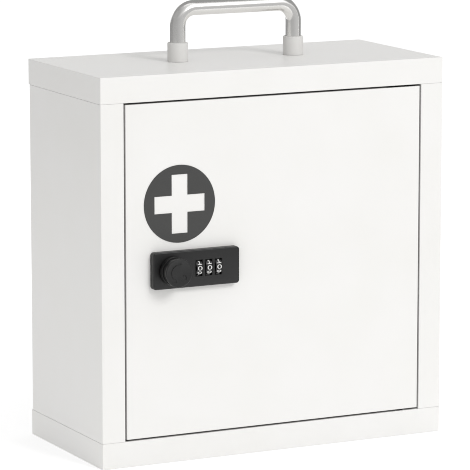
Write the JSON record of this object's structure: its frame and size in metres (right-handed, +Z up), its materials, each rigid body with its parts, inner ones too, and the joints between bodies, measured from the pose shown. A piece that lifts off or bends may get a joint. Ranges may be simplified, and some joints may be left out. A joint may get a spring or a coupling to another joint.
{
  "type": "lockable medicine cabinet",
  "caption": "Small white board cabinet with a bow carrying handle, an inset door on hidden pivot pins, a round cross mark and a combination cam lock.",
  "frame": {"origin": "middle of the underside of the bottom board", "axes": "+X across the front from left to right, +Y from the door to the back, +Z up"},
  "size_m": [0.298, 0.1568, 0.3518],
  "materials": {
    "white_board": "white foil on board, satin",
    "bare_wood": "planed beech, unfinished",
    "polished_steel": "polished and nickel plated",
    "satin_steel": "satin, fine grit",
    "plated_steel": "zinc plated",
    "black_plastic": "moulded, fine matt texture",
    "dial_plastic": "moulded black with white figures",
    "dark_film": "matt self-adhesive film",
    "bush_plastic": "moulded nylon",
    "clear_rubber": "soft translucent silicone"
  },
  "bodies": {
    "carcass": {"top_board": "white_board", "bottom_board": "white_board", "left_side_panel": "white_board", "right_side_panel": "white_board", "back_panel": "white_board", "back_panel_screws": "plated_steel", "corner_dowels": "bare_wood", "joint_cams": "plated_steel", "joint_bolts": "plated_steel", "shelf": "white_board", "shelf_pins": "plated_steel", "handle_bar": "polished_steel", "left_handle_sleeve": "satin_steel", "right_handle_sleeve": "satin_steel", "handle_screws": "plated_steel", "handle_washers": "plated_steel", "upper_hinge_bush": "bush_plastic", "lower_hinge_bush": "bush_plastic", "door_stops": "white_board", "door_stop_screws": "plated_steel", "door_buffers": "clear_rubber", "strike_plate": "plated_steel", "strike_screws": "plated_steel"},
    "door": {"upper_hinge_pin": "plated_steel", "lower_hinge_pin": "plated_steel", "upper_hinge_plate": "plated_steel", "lower_hinge_plate": "plated_steel", "hinge_plate_screws": "plated_steel", "door_panel": "white_board", "cross_decal": "dark_film", "lock_faceplate": "black_plastic", "lock_case": "black_plastic", "dial_axle": "plated_steel", "detent_springs": "plated_steel", "lock_barrel": "plated_steel", "lock_nut": "plated_steel", "lock_fixing_screw": "plated_steel"},
    "knob": {"lock_knob": "black_plastic", "lock_spindle": "plated_steel", "lock_cam": "plated_steel", "cam_screw": "plated_steel"},
    "dial_left": {"dial_1": "dial_plastic"},
    "dial_middle": {"dial_2": "dial_plastic"},
    "dial_right": {"dial_3": "dial_plastic"}
  },
  "joints": [
    {"name": "door_hinge", "type": "hinge", "parent": "carcass", "child": "door", "pos_m": [0.1132, -0.0627, 0.152], "axis": [0, 0, 1], "range_deg": [0, 110]},
    {"name": "knob_turn", "type": "hinge", "parent": "door", "child": "knob", "pos_m": [-0.0921, -0.08, 0.1528], "axis": [0, 1, 0], "range_deg": [0, 90]},
    {"name": "dial_1_turn", "type": "hinge", "parent": "door", "child": "dial_left", "pos_m": [-0.0691, -0.0692, 0.1528], "axis": [1, 0, 0], "continuous": true},
    {"name": "dial_2_turn", "type": "hinge", "parent": "door", "child": "dial_middle", "pos_m": [-0.0608, -0.0692, 0.1528], "axis": [1, 0, 0], "continuous": true},
    {"name": "dial_3_turn", "type": "hinge", "parent": "door", "child": "dial_right", "pos_m": [-0.0525, -0.0692, 0.1528], "axis": [1, 0, 0], "continuous": true}
  ]
}
